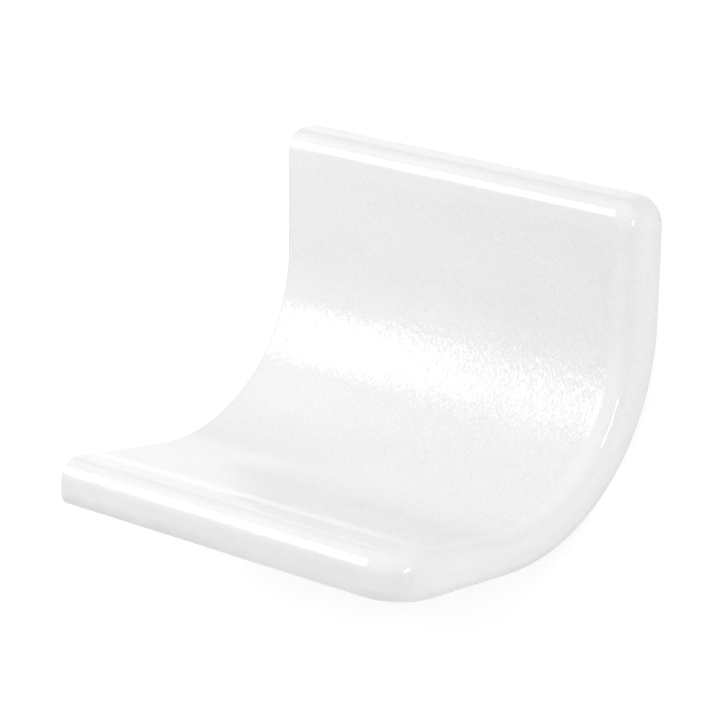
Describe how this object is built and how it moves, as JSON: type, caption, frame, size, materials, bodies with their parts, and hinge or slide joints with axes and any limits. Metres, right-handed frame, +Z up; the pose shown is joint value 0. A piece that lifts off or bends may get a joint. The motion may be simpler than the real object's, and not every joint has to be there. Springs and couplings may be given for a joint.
{
  "type": "cove stair tread tile",
  "caption": "Glazed ceramic cove tile for a stair, bent from a flat foot up to a short upright, with a rounded nose, top edge and stop end and a square joint end.",
  "frame": {"origin": "middle of the floor footprint, at the lowest line of the convex back, with the tile lying unheld on that back", "axes": "+X along the stair from the square joint end to the rounded stop end, +Y from the nose side to the upright side, +Z up from the floor with the cove open upward"},
  "size_m": [0.15, 0.1622, 0.0648],
  "materials": {
    "glaze": "gloss white glaze with a fine pebbled face and smooth rolled edges"
  },
  "bodies": {
    "root": {"cove_tile": "glaze"}
  },
  "joints": []
}
